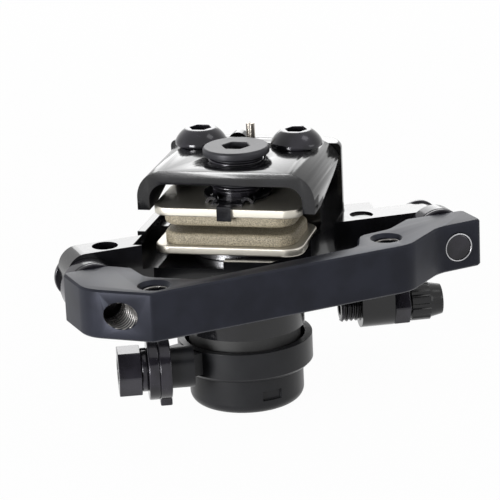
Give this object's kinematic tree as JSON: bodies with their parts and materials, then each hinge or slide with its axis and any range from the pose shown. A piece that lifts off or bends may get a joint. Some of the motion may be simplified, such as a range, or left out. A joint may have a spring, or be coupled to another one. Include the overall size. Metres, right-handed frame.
{
  "type": "mechanical disc brake caliper",
  "caption": "Cable-pull disc brake caliper on its two-hole frame bracket, with adjustable pads, ball-ramp actuator arm and barrel adjuster",
  "frame": {"origin": "the actuator's axis where it crosses the rotor's mid-plane, between the two pads", "axes": "+Z along the wheel axle, away from the actuator; +X along the pads' width, towards the barrel adjuster; +Y away from the hub, across the rotor"},
  "size_m": [0.0805, 0.0758, 0.0547],
  "materials": {
    "bracket": "matte black anodised",
    "body": "gloss black paint",
    "plate": "gloss black paint",
    "oxide": "black oxide",
    "adjuster": "satin black",
    "pad_steel": "bare steel",
    "friction": "sintered, granular",
    "spring_black": "blackened spring steel",
    "pin": "bright",
    "seal": "matte",
    "cap": "satin",
    "knob": "gloss",
    "inner_steel": "ground",
    "bush": "bronze"
  },
  "bodies": {
    "base": {"adapter_bracket": "bracket", "caliper_body": "body", "outer_plate": "plate", "plate_bolts": "oxide", "mount_bolts": "oxide", "convex_washers": "oxide", "concave_washers": "oxide", "pad_pin": "pin", "thrust_washer": "inner_steel", "spindle_bush": "bush", "dust_seal": "seal", "return_spring": "spring_black"},
    "arm": {"actuator_arm": "body", "turning_ramp": "inner_steel", "arm_screw": "oxide", "arm_screw_washer": "oxide", "end_cap": "cap", "clamp_plate": "oxide", "clamp_washer": "oxide", "clamp_spring_washer": "oxide", "clamp_bolt": "oxide"},
    "balls": {"ramp_balls": "inner_steel", "ball_cage": "bush"},
    "piston": {"piston": "inner_steel", "piston_ring": "seal", "lifting_ramp": "inner_steel", "moving_pad_backing": "pad_steel", "moving_pad_friction": "friction"},
    "fixed_pad": {"fixed_pad_backing": "pad_steel", "fixed_pad_friction": "friction", "adjuster_foot": "inner_steel", "pad_clip": "spring_black"},
    "adjuster": {"pad_adjuster": "adjuster"},
    "barrel": {"barrel_adjuster": "knob"},
    "locknut": {"barrel_locknut": "oxide"}
  },
  "joints": [
    {"name": "arm_turn", "type": "hinge", "parent": "base", "child": "arm", "pos_m": [0, 0, -0.028], "axis": [0, 0, -1], "range_deg": [0, 45], "stiffness_Nm_per_rad": 0.25, "springref_deg": -28.65, "deforming": ["return_spring"]},
    {"name": "balls_turn", "type": "hinge", "parent": "base", "child": "balls", "pos_m": [0, 0, -0.015], "axis": [0, 0, -1], "range_deg": [0, 22.5]},
    {"name": "piston_slide", "type": "slide", "parent": "base", "child": "piston", "axis": [0, 0, 1], "range_m": [0, 0.001]},
    {"name": "adjuster_turn", "type": "hinge", "parent": "fixed_pad", "child": "adjuster", "pos_m": [0, 0, 0.012], "axis": [0, 0, -1], "range_deg": [-360, 90]},
    {"name": "fixed_pad_slide", "type": "slide", "parent": "base", "child": "fixed_pad", "axis": [0, 0, -1], "range_m": [-0.00105, 0.0003]},
    {"name": "barrel_turn", "type": "hinge", "parent": "base", "child": "barrel", "pos_m": [0.0213, 0.02674, -0.0274], "axis": [0.9219, 0.3875, 0], "continuous": true},
    {"name": "locknut_turn", "type": "hinge", "parent": "base", "child": "locknut", "pos_m": [0.0213, 0.02674, -0.0274], "axis": [0.9219, 0.3875, 0], "continuous": true}
  ],
  "couplings": [
    {"joint": "balls_turn", "follows": "arm_turn", "ratio": 0.5},
    {"joint": "piston_slide", "follows": "arm_turn", "m_per_rad": 0.0012732},
    {"joint": "fixed_pad_slide", "follows": "adjuster_turn", "m_per_rad": 0.00015915}
  ]
}
